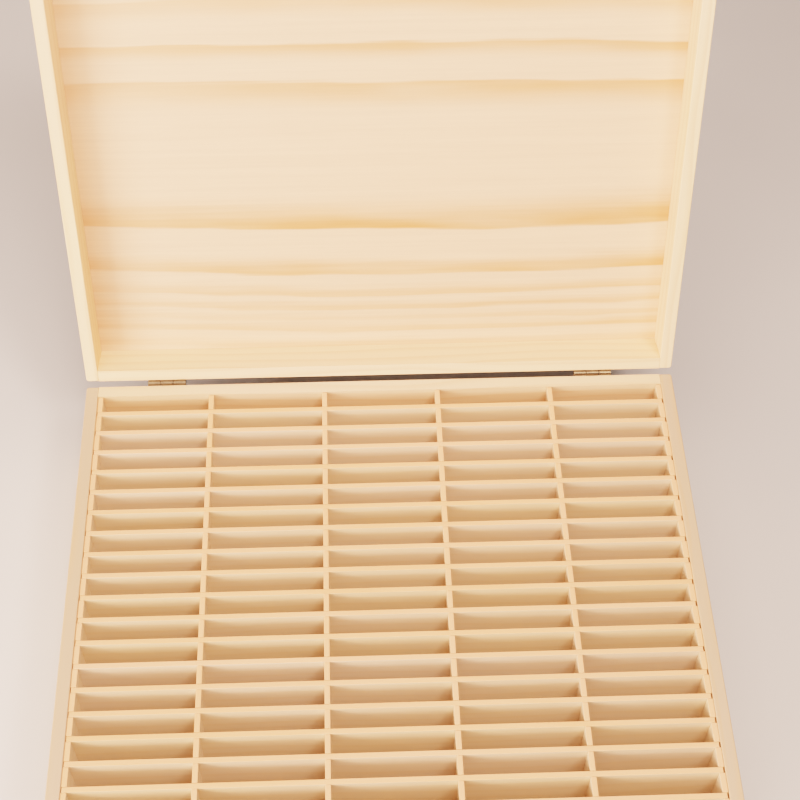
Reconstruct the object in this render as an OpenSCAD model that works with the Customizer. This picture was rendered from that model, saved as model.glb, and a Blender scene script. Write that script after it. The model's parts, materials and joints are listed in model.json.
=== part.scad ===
// Hinged wooden box that keeps graded coin slabs upright in an egg-crate grid of halved dividers.
// Millimetres. X runs along the hinges, Y to the rear, Z up. The origin is the centre of the underside.
// The lid is drawn open, leaning back on the stops of its hinges.

/* [Slots] */
// Slots from side to side
slot_columns = 5; // [2:1:7]
// Slots from front to rear
slot_rows = 20; // [4:1:26]
// Distance from one column of slots to the next
column_pitch = 69; // [60:0.5:80]
// Opening of one slot from front to rear
slot_gap = 11; // [8:0.5:16]

/* [Grid] */
// Thickness of the dividers and side panels
divider_t = 3; // [2:0.1:5]
// How far the top of the grid lies under the rim of the base
grid_drop = 0.4; // [0.1:0.1:3]
// Clearance on each face of a halved joint
lap_clear = 0.1; // [0.05:0.05:0.3]
// Clearance between the grid and the front and rear walls
grid_end_clear = 0.25; // [0.1:0.05:0.8]
// Gap between a side wall and the side panel beside it
panel_gap = 0.2; // [0.1:0.1:0.9]
// How far the cross dividers stop short of the left side panel's outer face
left_short = 0.3; // [0:0.1:1.8]
// How far the cross dividers stop short of the right side panel's outer face
right_short = 0.7; // [0:0.1:1.8]

/* [Box] */
// Thickness of the walls and lid rails
wall_t = 7.5; // [5:0.5:14]
// Height of the base walls
wall_h = 68; // [45:1:95]
// Thickness of the floor panel
floor_t = 5; // [3:0.5:10]
// Height of the lid rails
lid_rail_h = 22; // [18:1:40]
// Thickness of the lid's board
lid_panel_t = 6; // [3:0.5:12]
// Nearest height of one finger in the corner joints
finger_h = 10; // [6:1:20]
// Chamfer on the upright corners
corner_ease = 1; // [0.2:0.1:2]
// Gap between the rims when the lid is closed
rim_gap = 0.3; // [0.1:0.1:0.8]
// Turn of the lid from closed to its stop
lid_open = 107.5; // [95:0.5:120]

/* [Hinges] */
// Length of a hinge
hinge_l = 23; // [20:1:40]
// Distance from the end of the box to the middle of a hinge
hinge_inset = 49; // [30:1:90]
// Thickness of a hinge leaf
leaf_t = 0.9; // [0.6:0.1:1.3]
// Height of a hinge leaf above the pin
leaf_h = 15; // [12:0.5:17]
// Radius of the hinge barrel
barrel_r = 1.8; // [1.5:0.1:2.4]
// Gap between the barrel and the wall behind it
barrel_clear = 0.3; // [0.2:0.05:0.6]
// Radius of the hinge pin
pin_r = 0.9; // [0.6:0.1:1.1]
// Running clearance round a pin or rivet
pin_clear = 0.05; // [0.02:0.01:0.09]
// Knuckles on one hinge
knuckles = 3; // [3:2:5]
// Gap between knuckles
knuckle_gap = 0.3; // [0.2:0.1:0.6]
// Distance from the pin's axis to the stop lugs
stop_reach = 3.2; // [2.9:0.1:5]
// Width of a stop lug
stop_w = 8; // [4:1:14]
// Gap between the stop lugs when the lid leans on them
stop_gap = 0.2; // [0.1:0.05:0.4]

/* [Screws] */
// Radius of a screw's shank
screw_r = 1; // [0.7:0.1:1.3]
// Radius of a screw's countersunk head
screw_head_r = 1.9; // [1.5:0.1:2.3]
// Clearance round a screw in the metal that it holds
screw_clear = 0.05; // [0.03:0.01:0.15]
// Wood left between a screw's tip and the inner face
screw_skin = 1.5; // [0.5:0.5:3]
// Distance from the end of a hinge or latch plate to its screws
screw_inset = 4.5; // [3:0.5:7]

/* [Latch] */
// Length of the latch and keeper plates
plate_l = 26; // [22:1:40]
// Width of the latch and keeper plates
plate_w = 9; // [7:0.5:12]
// Thickness of the latch and keeper plates
plate_t = 1; // [0.7:0.1:1.6]
// Thickness of the hook
hook_t = 1.6; // [1:0.1:2.5]
// Width of the hook's arm
hook_w = 5; // [3:0.5:6]
// Metal left round the hook's eye and notch
hook_rim = 2.5; // [1.5:0.1:3.5]
// Length of the hook's finger tail
tail_l = 5; // [3:0.5:9]
// Radius of the rivet that the hook turns on
rivet_r = 1.3; // [1:0.1:1.8]
// Radius of the rivet's head
rivet_head_r = 2.6; // [2.2:0.1:3.4]
// Distance from the base's rim down to the keeper peg
keeper_drop = 9; // [7:0.5:14]
// Radius of the keeper peg's neck
peg_r = 1.4; // [1:0.1:2]
// Radius of the keeper peg's head
peg_head_r = 2.8; // [2.4:0.1:3.6]
// Height of the domed heads
dome_h = 1.1; // [0.7:0.1:1.6]
// Play on each face of the hook
hook_play = 0.15; // [0.1:0.05:0.4]
// Play between the hook's notch and the peg
peg_play = 0.3; // [0.2:0.05:0.6]

/* [Hidden] */
$fn = 48;
// Overrun of a cut past a face that it opens
cut = 1;

inner_w = slot_columns*column_pitch;
inner_d = slot_rows*slot_gap + (slot_rows - 1)*divider_t;
box_w = inner_w + 2*wall_t;
box_d = inner_d + 2*wall_t;
rim_z = floor_t + wall_h;
lid_rim_z = rim_z + rim_gap;

grid_h = wall_h - grid_drop;
lap_w = divider_t + 2*lap_clear;
lap_h = grid_h/2 + lap_clear;
panel_out_x = inner_w/2 - panel_gap;
panel_x = panel_out_x - divider_t/2;
cross_count = slot_rows - 1;
column_count = slot_columns - 1;

axis_out = barrel_r + barrel_clear;
axis_y = box_d/2 + axis_out;
axis_z = rim_z + rim_gap/2;
hinge_x = box_w/2 - hinge_inset;
knuckle_l = (hinge_l - (knuckles - 1)*knuckle_gap)/knuckles;
stop_slope = tan((180 - lid_open)/2);
leaf_screw_z = (stop_reach + leaf_t + leaf_h)/2;

screw_head_h = screw_head_r - screw_r;
leaf_screw_l = leaf_t + wall_t - screw_skin;
plate_screw_l = plate_t + wall_t - screw_skin;
leaf_screw_xs = [-1, 1]*(hinge_l/2 - screw_inset);
plate_screw_xs = [-1, 1]*(plate_l/2 - screw_inset);

latch_z = lid_rim_z + lid_rail_h/2;
keeper_z = rim_z - keeper_drop;
latch_reach = latch_z - keeper_z;
hook_back = plate_t + hook_play;
hook_front = hook_back + hook_t + hook_play;
notch_r = peg_r + peg_play;

PINE = "#e8cfa4";
BOARD = "#edd6ae";
DIVIDER = "#e6c896";
BRASS = "#a98a52";

CROSS_NAMES = [for (k = [1 : cross_count]) str("cross_divider_", k)];
COLUMN_NAMES = [for (j = [1 : column_count]) str("column_divider_", j)];

// An odd number of fingers, at least three, so that both rims belong to the side boards
function finger_count(height) = 2*max(1, round((height/finger_h - 1)/2)) + 1;
function row_y(k) = inner_d/2 - k*slot_gap - (k - 0.5)*divider_t;
function column_x(j) = (j - slot_columns/2)*column_pitch;
function knuckle_x(i) = -hinge_l/2 + i*(knuckle_l + knuckle_gap);

// Places drawn for the closed lid, turned to the open stop
module lid_pose() {
    translate([0, axis_y, axis_z])
        rotate([-lid_open, 0, 0])
            translate([0, -axis_y, -axis_z])
                children();
}

// Chamfers all four upright corners of the box
module eased_corners(z, height) {
    side = corner_ease*sqrt(2);
    difference() {
        children();
        for (x = [-1, 1]*box_w/2, y = [-1, 1]*box_d/2)
            translate([x, y, z + height/2])
                rotate([0, 0, 45])
                    cube([side, side, height + 2*cut], center = true);
    }
}

// Board with corner fingers: length along X, back face at y = 0. Fingers of the named parity stay.
module jointed_board(length, height, parity) {
    count = finger_count(height);
    step = height/count;
    difference() {
        translate([-length/2, 0, 0])
            cube([length, wall_t, height]);
        for (i = [0 : count - 1])
            if (i%2 != parity) {
                low = i*step - (i == 0 ? cut : 0);
                high = (i + 1)*step + (i == count - 1 ? cut : 0);
                for (x = [-length/2 - cut, length/2 - wall_t])
                    translate([x, -cut, low])
                        cube([wall_t + cut, wall_t + 2*cut, high - low]);
            }
    }
}

// Front or rear board of a frame that stands on the given height
module cross_board(y, z, height) {
    eased_corners(z, height)
        translate([0, y, z])
            jointed_board(box_w, height, 1);
}

// Left or right board, whose fingers reach both rims
module side_board(x, z, height) {
    eased_corners(z, height)
        translate([x + wall_t, 0, z])
            rotate([0, 0, 90])
                jointed_board(box_d, height, 0);
}

// Full-width panel with its underside at the given height
module full_panel(z, thickness) {
    eased_corners(z, thickness)
        translate([-box_w/2, -box_d/2, z])
            cube([box_w, box_d, thickness]);
}

// Countersunk wood screw: head flush with z = 0, shank down; grown by the clearance
module screw(length, clear = 0) {
    rotate_extrude()
        polygon([
            [0, 0],
            [screw_head_r + clear, 0],
            [screw_r + clear, -screw_head_h],
            [screw_r + clear, -length],
            [0, -length]
        ]);
}

// Both hinges' screws on one leaf: up is 1 for the lid, -1 for the base
module leaf_screws(up) {
    for (hinge = [-1, 1]*hinge_x, x = leaf_screw_xs)
        translate([hinge + x, box_d/2 + leaf_t, axis_z + up*leaf_screw_z])
            rotate([-90, 0, 0])
                screw(leaf_screw_l);
}

// The two screws of a plate on the front face
module plate_screws(z) {
    for (x = plate_screw_xs)
        translate([x, -box_d/2 - plate_t, z])
            rotate([90, 0, 0])
                screw(plate_screw_l);
}

module floor_panel() {
    color(BOARD) full_panel(0, floor_t);
}

module front_wall() {
    color(PINE) difference() {
        cross_board(-box_d/2, floor_t, wall_h);
        plate_screws(keeper_z);
    }
}

module rear_wall() {
    color(PINE) difference() {
        cross_board(box_d/2 - wall_t, floor_t, wall_h);
        leaf_screws(-1);
    }
}

module left_wall() {
    color(PINE) side_board(-box_w/2, floor_t, wall_h);
}

module right_wall() {
    color(PINE) side_board(box_w/2 - wall_t, floor_t, wall_h);
}

// Upright plate from front to rear, halved from its top edge for every cross divider
module slotted_plate(x) {
    length = inner_d - 2*grid_end_clear;
    color(DIVIDER) difference() {
        translate([x - divider_t/2, -length/2, floor_t])
            cube([divider_t, length, grid_h]);
        for (k = [1 : cross_count])
            translate([x - divider_t/2 - cut, row_y(k) - lap_w/2, floor_t + grid_h - lap_h])
                cube([divider_t + 2*cut, lap_w, lap_h + cut]);
    }
}

module left_side_panel() {
    slotted_plate(-panel_x);
}

module right_side_panel() {
    slotted_plate(panel_x);
}

module column_divider(j) {
    slotted_plate(column_x(j));
}

// Strip from side to side, halved from its bottom edge for every plate that it crosses
module cross_divider(k) {
    crossed = concat([-panel_x, panel_x], [for (j = [1 : column_count]) column_x(j)]);
    left = -panel_out_x + left_short;
    right = panel_out_x - right_short;
    color(DIVIDER) translate([0, row_y(k) - divider_t/2, floor_t]) difference() {
        translate([left, 0, 0])
            cube([right - left, divider_t, grid_h]);
        for (x = crossed)
            translate([x - lap_w/2, -cut, -cut])
                cube([lap_w, divider_t + 2*cut, lap_h + cut]);
    }
}

module lid_front_rail() {
    color(PINE) lid_pose() difference() {
        cross_board(-box_d/2, lid_rim_z, lid_rail_h);
        plate_screws(latch_z);
    }
}

module lid_rear_rail() {
    color(PINE) lid_pose() difference() {
        cross_board(box_d/2 - wall_t, lid_rim_z, lid_rail_h);
        leaf_screws(1);
    }
}

module lid_left_rail() {
    color(PINE) lid_pose() side_board(-box_w/2, lid_rim_z, lid_rail_h);
}

module lid_right_rail() {
    color(PINE) lid_pose() side_board(box_w/2 - wall_t, lid_rim_z, lid_rail_h);
}

module lid_panel() {
    color(BOARD) lid_pose() full_panel(lid_rim_z + lid_rail_h, lid_panel_t);
}

// Hinge leaf with the pin's axis along X at the origin and its plate upwards, against y = -axis_out.
// It keeps the knuckles of the named parity, and its lug ends on the plane where both lugs meet.
module hinge_leaf(parity, bore_r) {
    back = -axis_out;
    face = back + leaf_t;
    plate_low = barrel_r + knuckle_gap;
    lug_end = stop_reach + leaf_t;
    lug_back = stop_gap/2/cos((180 - lid_open)/2);
    difference() {
        union() {
            translate([-hinge_l/2, back, plate_low])
                cube([hinge_l, leaf_t, leaf_h - plate_low]);
            for (i = [parity : 2 : knuckles - 1])
                translate([knuckle_x(i), 0, 0]) {
                    rotate([0, 90, 0])
                        cylinder(r = barrel_r, h = knuckle_l);
                    translate([0, back, rim_gap/2])
                        cube([knuckle_l, leaf_t, plate_low]);
                }
            translate([-stop_w/2, 0, 0])
                rotate([90, 0, 90])
                    linear_extrude(stop_w)
                        polygon([
                            [back, stop_reach],
                            [stop_reach*stop_slope - lug_back, stop_reach],
                            [lug_end*stop_slope - lug_back, lug_end],
                            [back, lug_end]
                        ]);
        }
        translate([-hinge_l/2 - cut, 0, 0])
            rotate([0, 90, 0])
                cylinder(r = bore_r, h = hinge_l + 2*cut);
        for (x = leaf_screw_xs)
            translate([x, face, leaf_screw_z])
                rotate([-90, 0, 0])
                    screw(leaf_screw_l, screw_clear);
    }
}

// The outer knuckles belong to the base's leaf and grip the pin
module hinge_base_leaf(x) {
    color(BRASS) translate([x, axis_y, axis_z])
        mirror([0, 0, 1])
            hinge_leaf(0, pin_r);
}

module hinge_lid_leaf(x) {
    color(BRASS) lid_pose() translate([x, axis_y, axis_z])
        hinge_leaf(1, pin_r + pin_clear);
}

module hinge_pin(x) {
    color(BRASS) translate([x - hinge_l/2, axis_y, axis_z])
        rotate([0, 90, 0])
            cylinder(r = pin_r, h = hinge_l);
}

module base_hinge_screws() {
    color(BRASS) leaf_screws(-1);
}

module lid_hinge_screws() {
    color(BRASS) lid_pose() leaf_screws(1);
}

// Drawing plane of the latch: X stays, Y is up the front face, Z comes out of it
module on_front(z) {
    translate([0, -box_d/2, z])
        rotate([90, 0, 0])
            children();
}

// Plate with round ends, a hole for its rivet or peg and two screw holes
module front_plate(hole_r) {
    straight = plate_l - plate_w;
    difference() {
        linear_extrude(plate_t)
            difference() {
                union() {
                    square([straight, plate_w], center = true);
                    for (x = [-1, 1]*straight/2)
                        translate([x, 0])
                            circle(r = plate_w/2);
                }
                circle(r = hole_r);
            }
        for (x = plate_screw_xs)
            translate([x, 0, plate_t])
                screw(plate_screw_l, screw_clear);
    }
}

// Low domed head, flat side down
module dome(r) {
    ball_r = (r*r + dome_h*dome_h)/(2*dome_h);
    intersection() {
        translate([0, 0, dome_h - ball_r])
            sphere(r = ball_r);
        cylinder(r = r + cut, h = dome_h);
    }
}

// Round stem from the wood's face with a domed head in front of the hook
module headed_stem(stem_r, head_r) {
    cylinder(r = stem_r, h = hook_front);
    translate([0, 0, hook_front])
        dome(head_r);
}

module latch_plate() {
    color(BRASS) lid_pose() on_front(latch_z) front_plate(rivet_r);
}

module latch_rivet() {
    color(BRASS) lid_pose() on_front(latch_z) headed_stem(rivet_r, rivet_head_r);
}

module latch_plate_screws() {
    color(BRASS) lid_pose() plate_screws(latch_z);
}

// Notch that follows the peg's path round the rivet and opens towards -Y
module hook_notch() {
    reach = latch_reach + notch_r;
    translate([latch_reach, 0])
        circle(r = notch_r);
    intersection() {
        difference() {
            circle(r = reach, $fn = 96);
            circle(r = reach - 2*notch_r, $fn = 96);
        }
        translate([0, -reach - cut])
            square([reach + cut, reach + cut]);
    }
}

// The hook lies along the lid's edge, and a quarter turn brings its notch round the peg
module latch_hook() {
    eye_r = rivet_r + hook_rim;
    claw_r = notch_r + hook_rim;
    tail_r = hook_w/2 - hook_play;
    tail_x = latch_reach + claw_r + tail_l - tail_r;
    color(BRASS) lid_pose() on_front(latch_z) translate([0, 0, hook_back]) linear_extrude(hook_t) difference() {
        union() {
            circle(r = eye_r);
            translate([latch_reach, 0])
                circle(r = claw_r);
            translate([0, -hook_w/2])
                square([latch_reach, hook_w]);
            translate([latch_reach, -tail_r])
                square([tail_x - latch_reach, 2*tail_r]);
            translate([tail_x, 0])
                circle(r = tail_r);
        }
        circle(r = rivet_r + pin_clear);
        hook_notch();
    }
}

module keeper_plate() {
    color(BRASS) on_front(keeper_z) front_plate(peg_r);
}

module keeper_peg() {
    color(BRASS) on_front(keeper_z) headed_stem(peg_r, peg_head_r);
}

module keeper_screws() {
    color(BRASS) plate_screws(keeper_z);
}

floor_panel();
front_wall();
rear_wall();
left_wall();
right_wall();
left_side_panel();
right_side_panel();
for (j = [1 : column_count])
    column_divider(j);
for (k = [1 : cross_count])
    cross_divider(k);
lid_front_rail();
lid_rear_rail();
lid_left_rail();
lid_right_rail();
lid_panel();
hinge_base_leaf(-hinge_x);  // left_hinge_base_leaf
hinge_lid_leaf(-hinge_x);  // left_hinge_lid_leaf
hinge_pin(-hinge_x);  // left_hinge_pin
hinge_base_leaf(hinge_x);  // right_hinge_base_leaf
hinge_lid_leaf(hinge_x);  // right_hinge_lid_leaf
hinge_pin(hinge_x);  // right_hinge_pin
base_hinge_screws();
lid_hinge_screws();
latch_plate();
latch_rivet();
latch_hook();
latch_plate_screws();
keeper_plate();
keeper_peg();
keeper_screws();
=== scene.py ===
"""Looks of a hinged pine box whose grid of thin strips keeps coin slabs upright.

Units are metres. Lengths are written in millimetres times MM, and patterns are worked out in millimetres.
The lid stands open, and its boards are drawn in that pose.
"""
import json
import math

import bpy
from mathutils import Euler, Matrix, Vector

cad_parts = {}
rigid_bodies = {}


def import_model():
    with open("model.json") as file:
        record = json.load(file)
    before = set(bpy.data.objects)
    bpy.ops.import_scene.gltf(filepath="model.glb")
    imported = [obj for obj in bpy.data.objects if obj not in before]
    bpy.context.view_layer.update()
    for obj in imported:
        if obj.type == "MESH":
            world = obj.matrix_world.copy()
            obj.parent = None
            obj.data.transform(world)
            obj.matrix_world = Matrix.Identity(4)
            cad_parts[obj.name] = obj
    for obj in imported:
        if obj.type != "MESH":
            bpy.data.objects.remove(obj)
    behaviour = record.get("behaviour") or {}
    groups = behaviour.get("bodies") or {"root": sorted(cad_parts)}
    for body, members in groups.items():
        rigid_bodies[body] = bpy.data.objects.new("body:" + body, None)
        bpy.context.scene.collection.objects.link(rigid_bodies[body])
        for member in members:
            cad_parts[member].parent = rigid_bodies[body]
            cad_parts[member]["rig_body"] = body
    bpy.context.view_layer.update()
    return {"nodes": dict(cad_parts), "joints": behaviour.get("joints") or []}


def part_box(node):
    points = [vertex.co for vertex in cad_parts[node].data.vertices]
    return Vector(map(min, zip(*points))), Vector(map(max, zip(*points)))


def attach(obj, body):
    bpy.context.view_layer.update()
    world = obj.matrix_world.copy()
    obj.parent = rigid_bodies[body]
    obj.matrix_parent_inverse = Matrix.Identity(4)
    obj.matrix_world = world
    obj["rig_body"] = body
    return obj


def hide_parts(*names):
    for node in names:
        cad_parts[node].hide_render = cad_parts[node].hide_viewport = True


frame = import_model()

MM = 0.001

# Camera: placed by the box's own edges in the photograph
IMAGE_SIDE = 800
SENSOR_WIDTH = 36.0
FOCAL_PIXELS = 1557.4
CLIP_START = 0.01
CAMERA_PLACE = Vector((-15.3, -427.3, 841.6)) * MM
CAMERA_DOWN = math.radians(53.98)
CAMERA_LEAN_RIGHT = math.radians(2.745)
CAMERA_ROLL = math.radians(0.859)

# Pieces by the wood or metal that they are made of
LEVEL_BOARDS = ["front_wall", "rear_wall"]
SIDE_BOARDS = ["left_wall", "right_wall"]
LID_LEVEL_BOARDS = ["lid_front_rail", "lid_rear_rail"]
LID_SIDE_BOARDS = ["lid_left_rail", "lid_right_rail"]
COLUMN_STRIPS = ["left_side_panel", "right_side_panel"] + [f"column_divider_{j}" for j in range(1, 5)]
CROSS_STRIPS = [f"cross_divider_{k}" for k in range(1, 20)]
HINGE_LEAVES = [f"{side}_hinge_{part}" for side in ("left", "right") for part in ("base_leaf", "lid_leaf")]
HINGE_PINS = ["left_hinge_pin", "right_hinge_pin"]
LATCH_METAL = ["latch_plate", "latch_rivet", "latch_hook", "keeper_plate", "keeper_peg"]
HINGE_SCREWS = ["base_hinge_screws", "lid_hinge_screws"]
LATCH_SCREWS = ["keeper_screws", "latch_plate_screws"]

# Edges rounded over by sandpaper, by handling and by the press tool
BOARD_EASE = 0.6 * MM
PANEL_EASE = 0.8 * MM
STRIP_EASE = 0.25 * MM
BRASS_EASE = 0.12 * MM
SHARP_ANGLE = math.radians(40)
SMOOTH_ANGLE = math.radians(35)

# A solid's triangles become whole faces again
MERGE_DISTANCE = 0.002 * MM
FLAT_ANGLE = math.radians(0.5)

# How squarely a face has to look along the grain to show end grain, or upwards to be an edge
END_FACING = 0.8
EDGE_FACING = 0.7

# The lid's hinge gives the turn that lays its boards flat
LID_HINGE = next(joint for joint in frame["joints"] if joint["name"] == "lid_hinge")
LID_TURN = math.radians(LID_HINGE["range_deg"][1])
LID_AXIS = Vector(LID_HINGE["pos_m"])

ACROSS = Vector((1, 0, 0))
BACKWARDS = Vector((0, 1, 0))
LID_BACKWARDS = Matrix.Rotation(-LID_TURN, 3, "X") @ BACKWARDS
QUARTER = math.radians(-90)

# Unfinished pine: earlywood from cream to rosy, duller on the rims of the side walls, latewood lines,
# and sawn ends
LID_PINE = ("#f8dbb1", "#f8d8b6")
BASE_PINE = ("#ebcea9", "#ebceb0")
SIDE_RIM_PINE = ("#c4ae94", "#c4ae9a")
PINE_LATE = "#dba97a"
RING_STRENGTH = 0.3
END_EARLY = "#dcb684"
END_LATE = "#b98b55"

# Growth rings of boards and strips in millimetres: the place of the pith across the grain and in height,
# the distance from ring to ring, and how far a ring wanders
BASE_LEVEL_PITH = (20, -95)
BASE_SIDE_PITH = (35, -120)
LID_LEVEL_PITH = (-30, -60)
LID_SIDE_PITH = (12, -70)
CROSS_PITH = (0, -70)
COLUMN_PITH = (0, -80)
BOARD_RINGS = {"spacing": 5.2, "wander": 14}
STRIP_RINGS = {"spacing": 6.5, "wander": 16}

# Rings on the lid's wide board: distance of the sharp edge from the board's hinge edge, width of the
# fade, and depth of the tan. The rings near the hinge end sharply on its side, the others on the far side.
HINGE_RINGS = [(7.1, 8, 0.35), (18.4, 8, 0.45), (26.5, 6, 0.30), (34.7, 7, 0.45), (44.8, 9, 0.50),
               (59.9, 13, 0.75), (90.5, 25, 0.85)]
FRONT_RINGS = [(184, 19, 0.70), (207.5, 10, 0.70), (234, 12, 0.55), (246, 8, 0.45), (255, 8, 0.50),
               (264, 8, 0.40), (273, 8, 0.45), (283, 7, 0.40)]
RING_EDGE = 2.0
BOARD_PALE = "#f0cbac"
BOARD_TAN = "#da9864"

# Near the hinge these rings sag towards it, right of the middle; between two distances from the hinge that
# turns to an arch and a lean. All of them sway and fray by a few millimetres.
RING_MIDDLE = 40.0
RING_TURN = (95.0, 240.0)
RING_SAG = -1.67e-4
RING_ARCH = 1.2e-4
RING_LEAN = 0.0137
RING_SWAY = 6.0
RING_FRAY = 4.0
TAN_REACH = 170.0

# Strips sawn from other boards, from rosy grey to golden: their faces, and their tops, darker and peachier as
# painted shade against the light from above
STRIP_FACES = ("#e2d6c4", "#e4d1ba", "#e4cfae", "#e1c89e")
STRIP_TOPS_PAINTED_SHADE = ("#f6bf9b", "#f6bc96", "#f6ba8f", "#f4b587")
STRIP_LATE = "#fdf9f3"

# How warm each cross strip is, from 0, rosy grey, to 1, golden, counted from the rear
STRIP_TONES = [0.50, 0.34, 0.32, 0.55, 0.40, 0.58, 0.45, 0.50, 0.55, 0.62,
               0.48, 0.63, 0.34, 0.46, 0.50, 0.58, 0.45, 0.60, 0.40]
COLUMN_TONE = 0.45

BRASS_DARK = "#6a6052"
BRASS_LIGHT = "#857a65"

# Driver slots in the screw heads
SCREW_RIM = 0.45 * MM
SCREW_SLOT = 0.5 * MM
SCREW_SLOT_DEPTH = 0.3 * MM
SCREW_TURN = math.radians(137.5)
HEAD_FACING = 0.99
HEAD_LEVEL = 0.05 * MM

# Plain floor
FLOOR_SIZE = 8.0
FLOOR_SHADES = ("#c5d0d9", "#cad5dd")

# Soft boxes of one warm white: place, width and height in metres, spread in degrees, and power in watts
LIGHT_COLOUR = "#ffd2b9"
SOFT_BOXES = {
    "wide overhead box": ((0.0, -0.2, 1.5), (1.5, 1.5), 180, 24.0),
    "left box": ((-1.15, -0.75, 0.42), (0.8, 0.6), 120, 21.0),
    "front left box": ((-0.7, -1.0, 0.75), (0.8, 0.8), 180, 14.0),
    "high box": ((0.1, -0.5, 1.5), (0.3, 0.3), 180, 12.0),
    "high right box": ((0.5, -0.5, 1.4), (0.3, 0.3), 180, 16.0),
}
SURROUND = 0.06
BOX_MIDDLE = Vector((0, 0, 0.08))


def linear(colour):
    """An sRGB hex colour as linear red, green, blue and alpha."""
    parts = [int(colour[i:i + 2], 16) / 255 for i in (1, 3, 5)]
    return [c / 12.92 if c <= 0.04045 else ((c + 0.055) / 1.055) ** 2.4 for c in parts] + [1.0]


def add(tree, kind, inputs=None, stops=(), **settings):
    """Adds one node with its options; an input takes a value, or a node or socket to link from."""
    node = tree.nodes.new(kind)
    for option, value in settings.items():
        setattr(node, option, value)
    for i, (place, colour) in enumerate(stops):
        ramp = node.color_ramp.elements
        stop = ramp[i] if i < 2 else ramp.new(place)
        stop.position = place
        stop.color = linear(colour)
    for key, value in (inputs or {}).items():
        if isinstance(value, bpy.types.Node):
            value = next(socket for socket in value.outputs if socket.enabled)
        if isinstance(value, bpy.types.NodeSocket):
            tree.links.new(value, node.inputs[key])
        else:
            node.inputs[key].default_value = value
    return node


def new_material(name):
    """An empty node material."""
    material = bpy.data.materials.new(name)
    material.use_nodes = True
    material.node_tree.nodes.clear()
    return material, material.node_tree


def shade(tree, colour, height, relief, **surface):
    """Principled surface with its colour, and a bump of that relief in metres from a 0 to 1 height."""
    bump = add(tree, "ShaderNodeBump", {"Height": height, "Distance": relief, "Strength": 1.0})
    shader = add(tree, "ShaderNodeBsdfPrincipled", {"Base Color": colour, "Normal": bump, **surface})
    add(tree, "ShaderNodeOutputMaterial", {"Surface": shader})


# Wood: X of a board's own coordinates runs along the grain, Z through its thickness, in millimetres

def board_coordinates(tree, grain_turn, in_lid):
    """Object coordinates in millimetres, turned so that the grain runs along X and the lid lies closed."""
    lay = Euler((LID_TURN if in_lid else 0, 0, 0)).to_matrix()
    turn = Euler((0, 0, grain_turn)).to_matrix()
    shift = turn @ (LID_AXIS - lay @ LID_AXIS) / MM if in_lid else Vector((0, 0, 0))
    place = add(tree, "ShaderNodeTexCoord")
    return add(tree, "ShaderNodeMapping", {
        "Vector": place.outputs["Object"],
        "Scale": (1 / MM, 1 / MM, 1 / MM),
        "Rotation": (turn @ lay).to_euler(),
        "Location": shift,
    })


def streaks(tree, board, length, width, detail=3.0):
    """Noise from 0 to 1, drawn out along the grain: the length and width of one streak in millimetres."""
    stretched = add(tree, "ShaderNodeVectorMath", {0: board, 1: (1 / length, 1 / width, 1 / width)},
                    operation="MULTIPLY")
    return add(tree, "ShaderNodeTexNoise", {"Vector": stretched, "Scale": 1.0, "Detail": detail,
                                            "Roughness": 0.55})


def growth_rings(tree, board, pith, spacing, wander):
    """Latewood from 0 to 1: rings round a pith line along the grain, each fading in and ending sharply."""
    flat = add(tree, "ShaderNodeVectorMath", {0: board, 1: (0, 1, 1), 2: (0, -pith[0], -pith[1])},
               operation="MULTIPLY_ADD")
    radius = add(tree, "ShaderNodeVectorMath", {0: flat}, operation="LENGTH")
    sway = streaks(tree, board, 160, 45, detail=1.0)
    bent = add(tree, "ShaderNodeMath", {0: sway, 1: wander, 2: radius.outputs["Value"]},
               operation="MULTIPLY_ADD")
    count = add(tree, "ShaderNodeMath", {0: bent, 1: spacing}, operation="DIVIDE")
    through = add(tree, "ShaderNodeMath", {0: count}, operation="FRACT")
    return add(tree, "ShaderNodeValToRGB", {"Fac": through}, stops=[
        (0.0, "#000000"), (1.0, "#000000"), (0.45, "#3a3a3a"), (0.86, "#ffffff"), (0.94, "#b0b0b0")])


def planed_pine(name, grain_turn, in_lid, pith, earlywood):
    """Sanded, unvarnished pine board: pale cream earlywood, soft tan ring lines and a dry, silky face."""
    material, tree = new_material(name)
    board = board_coordinates(tree, grain_turn, in_lid)
    rings = growth_rings(tree, board, pith, **BOARD_RINGS)
    # Single fibres are far finer; they are drawn 0.7 mm wide so that they show
    fibres = streaks(tree, board, 26, 0.7)
    patches = streaks(tree, board, 150, 38, detail=1.0)
    cream, rosy = earlywood
    tint = add(tree, "ShaderNodeValToRGB", {"Fac": patches}, stops=[(0.3, rosy), (0.7, cream)])
    late = add(tree, "ShaderNodeMath", {0: rings, 1: RING_STRENGTH}, operation="MULTIPLY")
    lines = add(tree, "ShaderNodeMix", {0: late, 6: tint, 7: linear(PINE_LATE)}, data_type="RGBA")
    dark = add(tree, "ShaderNodeMapRange", {"Value": fibres, "To Min": 0.95, "To Max": 1.03})
    colour = add(tree, "ShaderNodeMix", {0: 1.0, 6: lines, 7: dark}, data_type="RGBA", blend_type="MULTIPLY")
    shade(tree, colour, fibres, 0.03 * MM, **{"Roughness": 0.62, "Specular IOR Level": 0.35})
    return material


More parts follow.
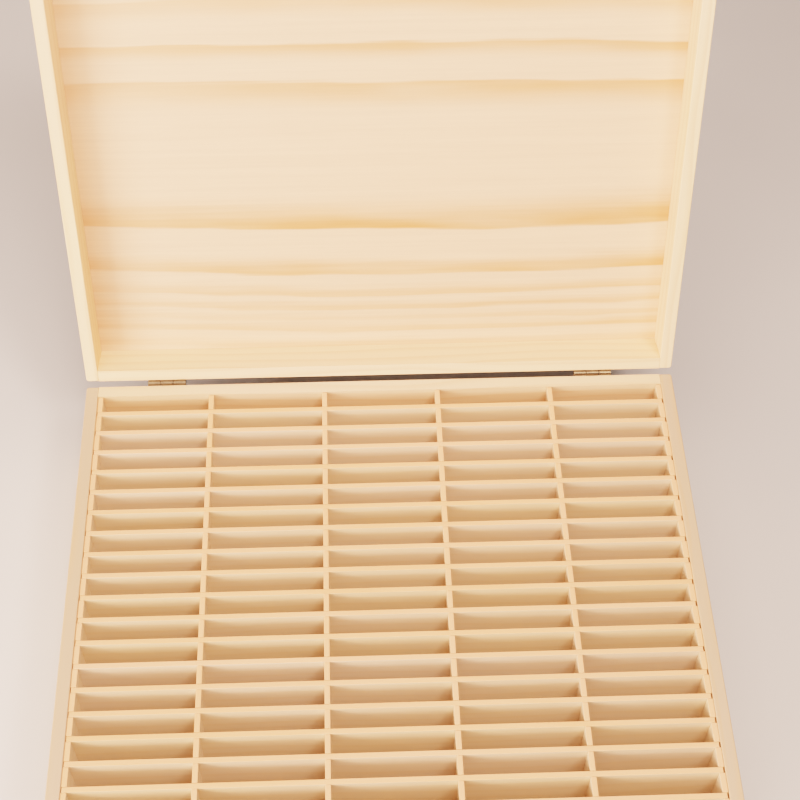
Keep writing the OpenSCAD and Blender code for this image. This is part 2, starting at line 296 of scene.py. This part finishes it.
def end_grain(name, grain_turn, in_lid, pith):
    """Sawn board end: the rings cut across as arcs, darker because the open fibres drink the light."""
    material, tree = new_material(name)
    board = board_coordinates(tree, grain_turn, in_lid)
    rings = growth_rings(tree, board, pith, **BOARD_RINGS)
    pores = streaks(tree, board, 60, 0.55)
    lines = add(tree, "ShaderNodeMix", {0: rings, 6: linear(END_EARLY), 7: linear(END_LATE)},
                data_type="RGBA")
    dark = add(tree, "ShaderNodeMapRange", {"Value": pores, "To Min": 0.80, "To Max": 1.08})
    colour = add(tree, "ShaderNodeMix", {0: 1.0, 6: lines, 7: dark}, data_type="RGBA", blend_type="MULTIPLY")
    shade(tree, colour, pores, 0.05 * MM, **{"Roughness": 0.8, "Specular IOR Level": 0.25})
    return material


def sawn_strip(name, grain_turn, pith, tones):
    """Thin sawn strip, each cut from another board: rosy grey to golden, with faint straight grain."""
    material, tree = new_material(name)
    board = board_coordinates(tree, grain_turn, in_lid=False)
    rings = growth_rings(tree, board, pith, **STRIP_RINGS)
    fibres = streaks(tree, board, 18, 0.6)
    patches = streaks(tree, board, 90, 24, detail=1.0)
    tone = add(tree, "ShaderNodeAttribute", attribute_name="strip_tone")
    drift = add(tree, "ShaderNodeMath", {0: patches, 1: 0.4, 2: -0.2}, operation="MULTIPLY_ADD")
    warmth = add(tree, "ShaderNodeMath", {0: tone.outputs["Fac"], 1: drift}, operation="ADD")
    grey, rosy, straw, gold = tones
    tint = add(tree, "ShaderNodeValToRGB", {"Fac": warmth}, stops=[
        (0.0, grey), (1.0, gold), (0.35, rosy), (0.6, straw)])
    late = add(tree, "ShaderNodeMix", {0: rings, 6: (1, 1, 1, 1), 7: linear(STRIP_LATE)}, data_type="RGBA")
    lines = add(tree, "ShaderNodeMix", {0: 1.0, 6: tint, 7: late}, data_type="RGBA", blend_type="MULTIPLY")
    dark = add(tree, "ShaderNodeMapRange", {"Value": fibres, "To Min": 0.98, "To Max": 1.015})
    colour = add(tree, "ShaderNodeMix", {0: 1.0, 6: lines, 7: dark}, data_type="RGBA", blend_type="MULTIPLY")
    shade(tree, colour, fibres, 0.02 * MM, **{"Roughness": 0.68, "Specular IOR Level": 0.3})
    return material


def ring_level(tree, board, lines):
    """Distance from the wide board's hinge edge in millimetres, bent and frayed as its rings run."""
    place = add(tree, "ShaderNodeSeparateXYZ", {"Vector": board})
    across = place.outputs["X"]
    box_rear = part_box("rear_wall")[1].y / MM
    from_hinge = add(tree, "ShaderNodeMath", {0: box_rear, 1: place.outputs["Y"]}, operation="SUBTRACT")
    near, far = RING_TURN
    turning = {"Value": from_hinge, "From Min": near, "From Max": far}
    curve = add(tree, "ShaderNodeMapRange", {**turning, "To Min": RING_SAG, "To Max": RING_ARCH})
    lean = add(tree, "ShaderNodeMapRange", {**turning, "To Max": RING_LEAN})
    aside = add(tree, "ShaderNodeMath", {0: across, 1: RING_MIDDLE}, operation="SUBTRACT")
    square = add(tree, "ShaderNodeMath", {0: aside, 1: aside}, operation="MULTIPLY")
    leant = add(tree, "ShaderNodeMath", {0: across, 1: lean, 2: from_hinge}, operation="MULTIPLY_ADD")
    sag = add(tree, "ShaderNodeMath", {0: square, 1: curve, 2: leant}, operation="MULTIPLY_ADD")
    sway = streaks(tree, board, 75, 22, detail=2.0)
    bent = add(tree, "ShaderNodeMath", {0: sway, 1: RING_SWAY, 2: sag}, operation="MULTIPLY_ADD")
    frayed = add(tree, "ShaderNodeMath", {0: lines, 1: RING_FRAY, 2: bent}, operation="MULTIPLY_ADD")
    # The noise is a half on average, so half of both shifts is taken back
    return add(tree, "ShaderNodeMath", {0: frayed, 1: -(RING_SWAY + RING_FRAY) / 2}, operation="ADD")


def ring_bands(tree, level):
    """Tan of all the wide board's rings, each fading in and ending sharply."""
    bands = None
    for rings, step in ((HINGE_RINGS, 1), (FRONT_RINGS, -1)):
        for edge, fade, depth in rings:
            sharp = add(tree, "ShaderNodeMapRange", {
                "Value": level, "From Min": edge - step * RING_EDGE, "From Max": edge, "To Max": depth,
            }, interpolation_type="SMOOTHSTEP")
            soft = add(tree, "ShaderNodeMapRange", {
                "Value": level, "From Min": edge + step * fade, "From Max": edge,
            }, interpolation_type="SMOOTHSTEP")
            ring = add(tree, "ShaderNodeMath", {0: sharp, 1: soft}, operation="MULTIPLY")
            if bands is not None:
                ring = add(tree, "ShaderNodeMath", {0: bands, 1: ring}, operation="ADD")
            bands = ring
    return bands


def lid_board_pine(name):
    """Wide flat-sawn pine board: broad tan ring bands on a near-white ground, under fine straight lines."""
    material, tree = new_material(name)
    board = board_coordinates(tree, 0, in_lid=True)
    lines = streaks(tree, board, 160, 2.4)
    bands = ring_bands(tree, ring_level(tree, board, lines))
    # The tan comes and goes along a ring, and is stronger towards the right end
    place = add(tree, "ShaderNodeSeparateXYZ", {"Vector": board})
    gain = add(tree, "ShaderNodeMapRange", {"Value": place.outputs["X"], "From Min": -TAN_REACH,
                                            "From Max": TAN_REACH, "To Min": 0.75, "To Max": 1.15})
    cloud = streaks(tree, board, 110, 16, detail=2.0)
    uneven = add(tree, "ShaderNodeMapRange", {"Value": cloud, "From Min": 0.3, "From Max": 0.7,
                                              "To Min": 0.7, "To Max": 1.25})
    strength = add(tree, "ShaderNodeMath", {0: gain, 1: uneven}, operation="MULTIPLY")
    tan = add(tree, "ShaderNodeMath", {0: bands, 1: strength}, operation="MULTIPLY", use_clamp=True)
    fibres = streaks(tree, board, 30, 0.7)
    ground = add(tree, "ShaderNodeMix", {0: tan, 6: linear(BOARD_PALE), 7: linear(BOARD_TAN)},
                 data_type="RGBA")
    faint = add(tree, "ShaderNodeMapRange", {"Value": lines, "To Min": 0.88, "To Max": 1.1})
    dark = add(tree, "ShaderNodeMapRange", {"Value": fibres, "To Min": 0.92, "To Max": 1.06})
    grain = add(tree, "ShaderNodeMath", {0: faint, 1: dark}, operation="MULTIPLY")
    colour = add(tree, "ShaderNodeMix", {0: 1.0, 6: ground, 7: grain}, data_type="RGBA",
                 blend_type="MULTIPLY")
    shade(tree, colour, fibres, 0.02 * MM, **{"Roughness": 0.55, "Specular IOR Level": 0.4})
    return material


def dull_brass(name):
    """Brass-plated pressed sheet: brownish gold, softly brushed along the barrel, with tarnish in patches."""
    material, tree = new_material(name)
    place = add(tree, "ShaderNodeTexCoord")
    metal = add(tree, "ShaderNodeMapping", {"Vector": place.outputs["Object"],
                                            "Scale": (1 / MM, 1 / MM, 1 / MM)})
    brushed = streaks(tree, metal, 9, 0.25)
    tarnish = streaks(tree, metal, 7, 4, detail=4.0)
    colour = add(tree, "ShaderNodeValToRGB", {"Fac": tarnish}, stops=[(0.3, BRASS_DARK), (0.65, BRASS_LIGHT)])
    rough = add(tree, "ShaderNodeMapRange", {"Value": brushed, "To Min": 0.3, "To Max": 0.5})
    shade(tree, colour, brushed, 0.01 * MM, **{"Metallic": 1.0, "Roughness": rough})
    return material


# Pieces

def select_only(piece):
    """Leaves one piece selected and active."""
    bpy.ops.object.select_all(action="DESELECT")
    piece.select_set(True)
    bpy.context.view_layer.objects.active = piece


def finished_copy(node):
    """A copy of a solid with its triangles merged back into whole faces."""
    source = frame["nodes"][node]
    piece = source.copy()
    piece.data = source.data.copy()
    piece.parent = None
    for key in list(piece.keys()):
        del piece[key]
    piece.name = node + "_finished"
    piece.data.name = piece.name
    piece.data.materials.clear()
    bpy.context.scene.collection.objects.link(piece)
    select_only(piece)
    bpy.ops.object.mode_set(mode="EDIT")
    bpy.ops.mesh.select_all(action="SELECT")
    bpy.ops.mesh.remove_doubles(threshold=MERGE_DISTANCE)
    bpy.ops.mesh.dissolve_limited(angle_limit=FLAT_ANGLE)
    bpy.ops.object.mode_set(mode="OBJECT")
    return piece


def ease_edges(piece, radius, segments=3):
    """Rounds every sharp edge over by the radius, and keeps the flat faces flat in their shading."""
    select_only(piece)
    bevel = piece.modifiers.new("eased edges", "BEVEL")
    bevel.width = radius
    bevel.segments = segments
    bevel.limit_method = "ANGLE"
    bevel.angle_limit = SHARP_ANGLE
    bpy.ops.object.modifier_apply(modifier=bevel.name)
    bpy.ops.object.shade_smooth_by_angle(angle=SMOOTH_ANGLE)
    flat = piece.modifiers.new("flat faces", "WEIGHTED_NORMAL")
    flat.weight = 100
    flat.keep_sharp = True
    bpy.ops.object.modifier_apply(modifier=flat.name)


def fit(piece, node):
    """The piece stands for its solid and moves with the solid's body."""
    body = frame["nodes"][node]["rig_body"]
    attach(piece, body)
    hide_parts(node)


def wooden(node, radius, face, end, grain, edge=None):
    """Board or strip with eased edges; faces square to the grain show end grain, upper ones any colour given
    for tops, which on the strips is painted shade.
    """
    piece = finished_copy(node)
    ease_edges(piece, radius)
    for material in (face, end, edge):
        if material:
            piece.data.materials.append(material)
    for polygon in piece.data.polygons:
        if abs(polygon.normal.dot(grain)) > END_FACING:
            polygon.material_index = 1
        elif edge and polygon.normal.z > EDGE_FACING:
            polygon.material_index = 2
    fit(piece, node)
    return piece


def brassware(node):
    """Pressed or turned brass with its edges broken."""
    piece = finished_copy(node)
    ease_edges(piece, BRASS_EASE, segments=2)
    piece.data.materials.append(brass)
    fit(piece, node)
    return piece


def head_places(piece, outward):
    """Middle of each screw head: the flat faces that lie furthest out along a direction."""
    flat = [face for face in piece.data.polygons if face.normal.dot(outward) > HEAD_FACING]
    furthest = max(face.center.dot(outward) for face in flat)
    return [face.center.copy() for face in flat if face.center.dot(outward) > furthest - HEAD_LEVEL]


def select_face(piece, place):
    """In edit mode, leaves selected the one face whose middle is nearest to a place."""
    bpy.ops.mesh.select_all(action="DESELECT")
    bpy.ops.object.mode_set(mode="OBJECT")
    nearest = min(piece.data.polygons, key=lambda face: (face.center - place).length)
    nearest.select = True
    bpy.ops.object.mode_set(mode="EDIT")


def cut_screw_slots(piece, outward):
    """Sinks a driver slot into every screw head, each turned as the driver left it."""
    heads = head_places(piece, outward)
    select_only(piece)
    bpy.ops.object.mode_set(mode="EDIT")
    bpy.ops.mesh.select_mode(type="FACE")
    for i, head in enumerate(heads):
        across_slot = Matrix.Rotation(i * SCREW_TURN, 3, outward) @ ACROSS
        select_face(piece, head)
        bpy.ops.mesh.inset(thickness=SCREW_RIM)
        for side in (1, -1):
            select_face(piece, head)
            bpy.ops.mesh.bisect(plane_co=head + side * SCREW_SLOT / 2 * across_slot, plane_no=across_slot)
        select_face(piece, head)
        bpy.ops.mesh.extrude_region_move(TRANSFORM_OT_translate={"value": -SCREW_SLOT_DEPTH * outward})
    bpy.ops.object.mode_set(mode="OBJECT")


def set_tone(piece, tone):
    """Writes how warm a strip's wood is on its mesh."""
    layer = piece.data.attributes.new("strip_tone", "FLOAT", "POINT")
    layer.data.foreach_set("value", [tone] * len(piece.data.vertices))


base_level = planed_pine("planed pine, grain from side to side", 0, False, BASE_LEVEL_PITH, BASE_PINE)
base_side = planed_pine("planed pine, grain from front to rear", QUARTER, False, BASE_SIDE_PITH, BASE_PINE)
side_rim = planed_pine("dull pine rim, grain from front to rear", QUARTER, False, BASE_SIDE_PITH,
                       SIDE_RIM_PINE)
lid_level = planed_pine("planed pine of the lid, grain from side to side", 0, True, LID_LEVEL_PITH, LID_PINE)
lid_side = planed_pine("planed pine of the lid, grain from front to rear", QUARTER, True, LID_SIDE_PITH,
                       LID_PINE)
base_level_end = end_grain("pine end grain, side to side", 0, False, BASE_LEVEL_PITH)
base_side_end = end_grain("pine end grain, front to rear", QUARTER, False, BASE_SIDE_PITH)
lid_level_end = end_grain("pine end grain of the lid, side to side", 0, True, LID_LEVEL_PITH)
lid_side_end = end_grain("pine end grain of the lid, front to rear", QUARTER, True, LID_SIDE_PITH)
lid_board = lid_board_pine("wide pine board")
cross_wood = sawn_strip("sawn strip, grain from side to side", 0, CROSS_PITH, STRIP_FACES)
# The strips' upward faces get their own darker, peachier colour: painted shade that offsets the stronger
# light from above
cross_top_painted_shade = sawn_strip("strip top with painted shade, grain from side to side", 0, CROSS_PITH, STRIP_TOPS_PAINTED_SHADE)
column_wood = sawn_strip("sawn strip, grain from front to rear", QUARTER, COLUMN_PITH, STRIP_FACES)
column_top_painted_shade = sawn_strip("strip top with painted shade, grain from front to rear", QUARTER, COLUMN_PITH, STRIP_TOPS_PAINTED_SHADE)
brass = dull_brass("dull brass")

for node in LEVEL_BOARDS:
    wooden(node, BOARD_EASE, base_level, base_level_end, ACROSS)
for node in SIDE_BOARDS:
    wooden(node, BOARD_EASE, base_side, base_side_end, BACKWARDS, side_rim)
for node in LID_LEVEL_BOARDS:
    wooden(node, BOARD_EASE, lid_level, lid_level_end, ACROSS)
for node in LID_SIDE_BOARDS:
    wooden(node, BOARD_EASE, lid_side, lid_side_end, LID_BACKWARDS)
wooden("lid_panel", PANEL_EASE, lid_board, lid_level_end, ACROSS)
wooden("floor_panel", PANEL_EASE, base_level, base_level_end, ACROSS)
# Each strip's upward faces take the painted-shade top colour
for node, tone in zip(CROSS_STRIPS, STRIP_TONES):
    strip = wooden(node, STRIP_EASE, cross_wood, base_level_end, ACROSS, cross_top_painted_shade)
    set_tone(strip, tone)
for node in COLUMN_STRIPS:
    strip = wooden(node, STRIP_EASE, column_wood, base_side_end, BACKWARDS, column_top_painted_shade)
    set_tone(strip, COLUMN_TONE)

for node in HINGE_LEAVES + HINGE_PINS + LATCH_METAL:
    brassware(node)
for node, outward in zip(HINGE_SCREWS + LATCH_SCREWS,
                         (BACKWARDS, LID_BACKWARDS, -BACKWARDS, -LID_BACKWARDS)):
    cut_screw_slots(brassware(node), outward)


# Stage: a plain pale floor, soft light and the camera

def pale_floor():
    """Matt off-white table, faintly uneven."""
    bpy.ops.object.select_all(action="DESELECT")
    bpy.ops.mesh.primitive_plane_add(size=FLOOR_SIZE)
    floor = bpy.context.object
    floor.name = "floor"
    material, tree = new_material("matt off-white paint")
    place = add(tree, "ShaderNodeTexCoord")
    cloud = add(tree, "ShaderNodeTexNoise", {"Vector": place.outputs["Object"], "Scale": 6.0, "Detail": 2.0})
    dull, bright = FLOOR_SHADES
    colour = add(tree, "ShaderNodeValToRGB", {"Fac": cloud}, stops=[(0.3, dull), (0.7, bright)])
    shade(tree, colour, cloud, 0.1 * MM, **{"Roughness": 0.9, "Specular IOR Level": 0.2})
    floor.data.materials.append(material)


def soft_light(name, place, size, spread, power):
    """Soft box aimed at the middle of the box."""
    bpy.ops.object.light_add(type="AREA", location=place)
    lamp = bpy.context.object
    lamp.name = name
    lamp.data.shape = "RECTANGLE"
    lamp.data.size, lamp.data.size_y = size
    lamp.data.spread = math.radians(spread)
    lamp.data.energy = power
    lamp.data.color = linear(LIGHT_COLOUR)[:3]
    lamp.rotation_euler = (BOX_MIDDLE - Vector(place)).to_track_quat("-Z", "Y").to_euler()


def studio_light():
    """Soft boxes overhead, at the left, in front and high at the right, and a faint surround."""
    for name, (place, size, spread, power) in SOFT_BOXES.items():
        soft_light(name, place, size, spread, power)
    world = bpy.data.worlds.new("faint surround")
    world.use_nodes = True
    world.node_tree.nodes["Background"].inputs["Color"].default_value = linear(LIGHT_COLOUR)
    world.node_tree.nodes["Background"].inputs["Strength"].default_value = SURROUND
    bpy.context.scene.world = world


def photo_camera():
    """The photograph's own view."""
    data = bpy.data.cameras.new("camera")
    data.sensor_width = SENSOR_WIDTH
    data.lens = FOCAL_PIXELS * SENSOR_WIDTH / IMAGE_SIDE
    data.clip_start = CLIP_START
    camera = bpy.data.objects.new("camera", data)
    bpy.context.scene.collection.objects.link(camera)
    heading = Matrix.Rotation(-CAMERA_LEAN_RIGHT, 4, "Z")
    tilt = Matrix.Rotation(math.radians(90) - CAMERA_DOWN, 4, "X")
    roll = Matrix.Rotation(CAMERA_ROLL, 4, "Z")
    camera.matrix_world = Matrix.Translation(CAMERA_PLACE) @ heading @ tilt @ roll
    bpy.context.scene.camera = camera


pale_floor()
studio_light()
photo_camera()
bpy.context.scene.view_settings.view_transform = "Filmic"
bpy.context.scene.view_settings.look = "Medium High Contrast"
bpy.context.scene.cycles.diffuse_bounces = 8
